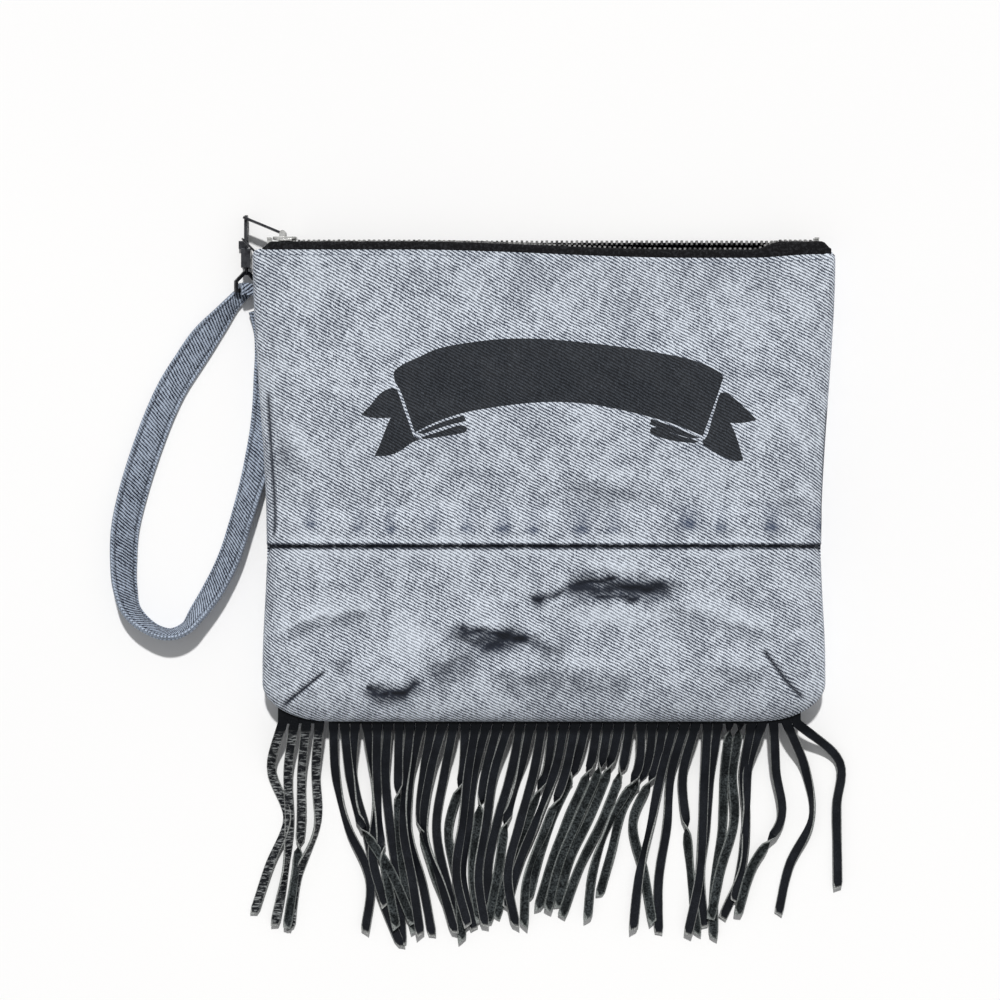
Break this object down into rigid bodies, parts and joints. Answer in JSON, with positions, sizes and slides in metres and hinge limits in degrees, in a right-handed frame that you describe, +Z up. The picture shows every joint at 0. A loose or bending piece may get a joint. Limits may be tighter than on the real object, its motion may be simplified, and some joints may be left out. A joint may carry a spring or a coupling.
{
  "type": "fringed denim zip pouch",
  "caption": "Flat denim zip pouch with a black leather fringe sewn into its bottom seam and a wrist strap held on a corner ring by a swivel clasp.",
  "frame": {"origin": "middle of the box's footprint, on the surface that the pouch lies on", "axes": "+X along the zip towards its top stops, +Y from the fringe up to the zip, +Z up away from the surface, out of the printed front"},
  "size_m": [0.3322, 0.3326, 0.0246],
  "materials": {
    "denim": "stone-washed grey-blue twill",
    "strap_denim": "mid-blue twill, folded and edge stitched",
    "zip_tape": "black woven tape with a metal chain",
    "nickel": "polished nickel",
    "gunmetal": "dark plated metal",
    "leather": "black grain side, suede flesh side",
    "ink": "matt screen print on twill"
  },
  "bodies": {
    "pouch": {"front_panel_upper": "denim", "front_panel_lower": "denim", "back_panel": "denim", "zip_half_front": "zip_tape", "zip_half_back": "zip_tape", "top_stop_front": "nickel", "top_stop_back": "nickel", "bottom_stop": "nickel", "corner_ring": "gunmetal", "clasp_swivel": "gunmetal", "wrist_strap": "strap_denim", "fringe_left": "leather", "fringe_main": "leather", "banner_ribbon": "ink", "banner_tail_left": "ink", "banner_tail_right": "ink"},
    "slider": {"zip_slider": "nickel"},
    "pull": {"zip_pull": "nickel"},
    "clasp": {"clasp_hook": "gunmetal", "clasp_pin": "gunmetal", "clasp_spring": "gunmetal"},
    "lever": {"clasp_lever": "gunmetal"}
  },
  "joints": [
    {"name": "zip_slide", "type": "slide", "parent": "pouch", "child": "slider", "axis": [1, 0, 0], "range_m": [0, 0.231]},
    {"name": "pull_hinge", "type": "hinge", "parent": "slider", "child": "pull", "pos_m": [-0.08724, 0.15732, 0.0115], "axis": [0, 0, 1], "range_deg": [-145, 6]},
    {"name": "clasp_swivel_turn", "type": "hinge", "parent": "pouch", "child": "clasp", "pos_m": [-0.10427, 0.14232, 0.0053], "axis": [0, 1, 0], "range_deg": [0, 20]},
    {"name": "lever_press", "type": "hinge", "parent": "clasp", "child": "lever", "pos_m": [-0.10427, 0.14902, 0.003], "axis": [1, 0, 0], "range_deg": [0, 20], "stiffness_Nm_per_rad": 0.002}
  ]
}
